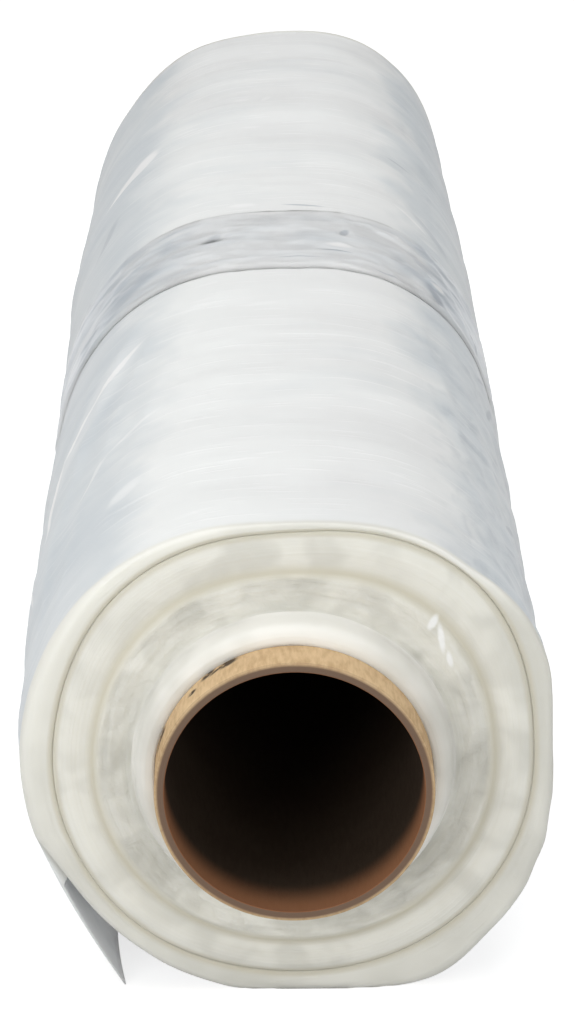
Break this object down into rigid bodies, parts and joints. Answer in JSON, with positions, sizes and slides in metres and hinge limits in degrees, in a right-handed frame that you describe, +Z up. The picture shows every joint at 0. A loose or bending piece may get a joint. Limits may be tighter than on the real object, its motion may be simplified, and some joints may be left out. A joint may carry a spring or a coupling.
{
  "type": "roll of protective film",
  "caption": "Soft roll of milky film wound on a cardboard core that stands out of both ends, with a loose outer wrap, a free corner and a clear band round its waist",
  "frame": {"origin": "on the floor, straight under the middle of the core's axis", "axes": "Y runs along the core with the near end of the roll, where the film's loose corner is, towards -Y, Z is up, and X is to the right as the near end is looked at"},
  "size_m": [0.1623, 0.673, 0.1523],
  "materials": {
    "cardboard": "matte",
    "film": "milky satin",
    "band_film": "clear gloss over the film"
  },
  "bodies": {
    "root": {"core": "cardboard", "film_roll": "film", "waist_band": "band_film"}
  },
  "joints": []
}
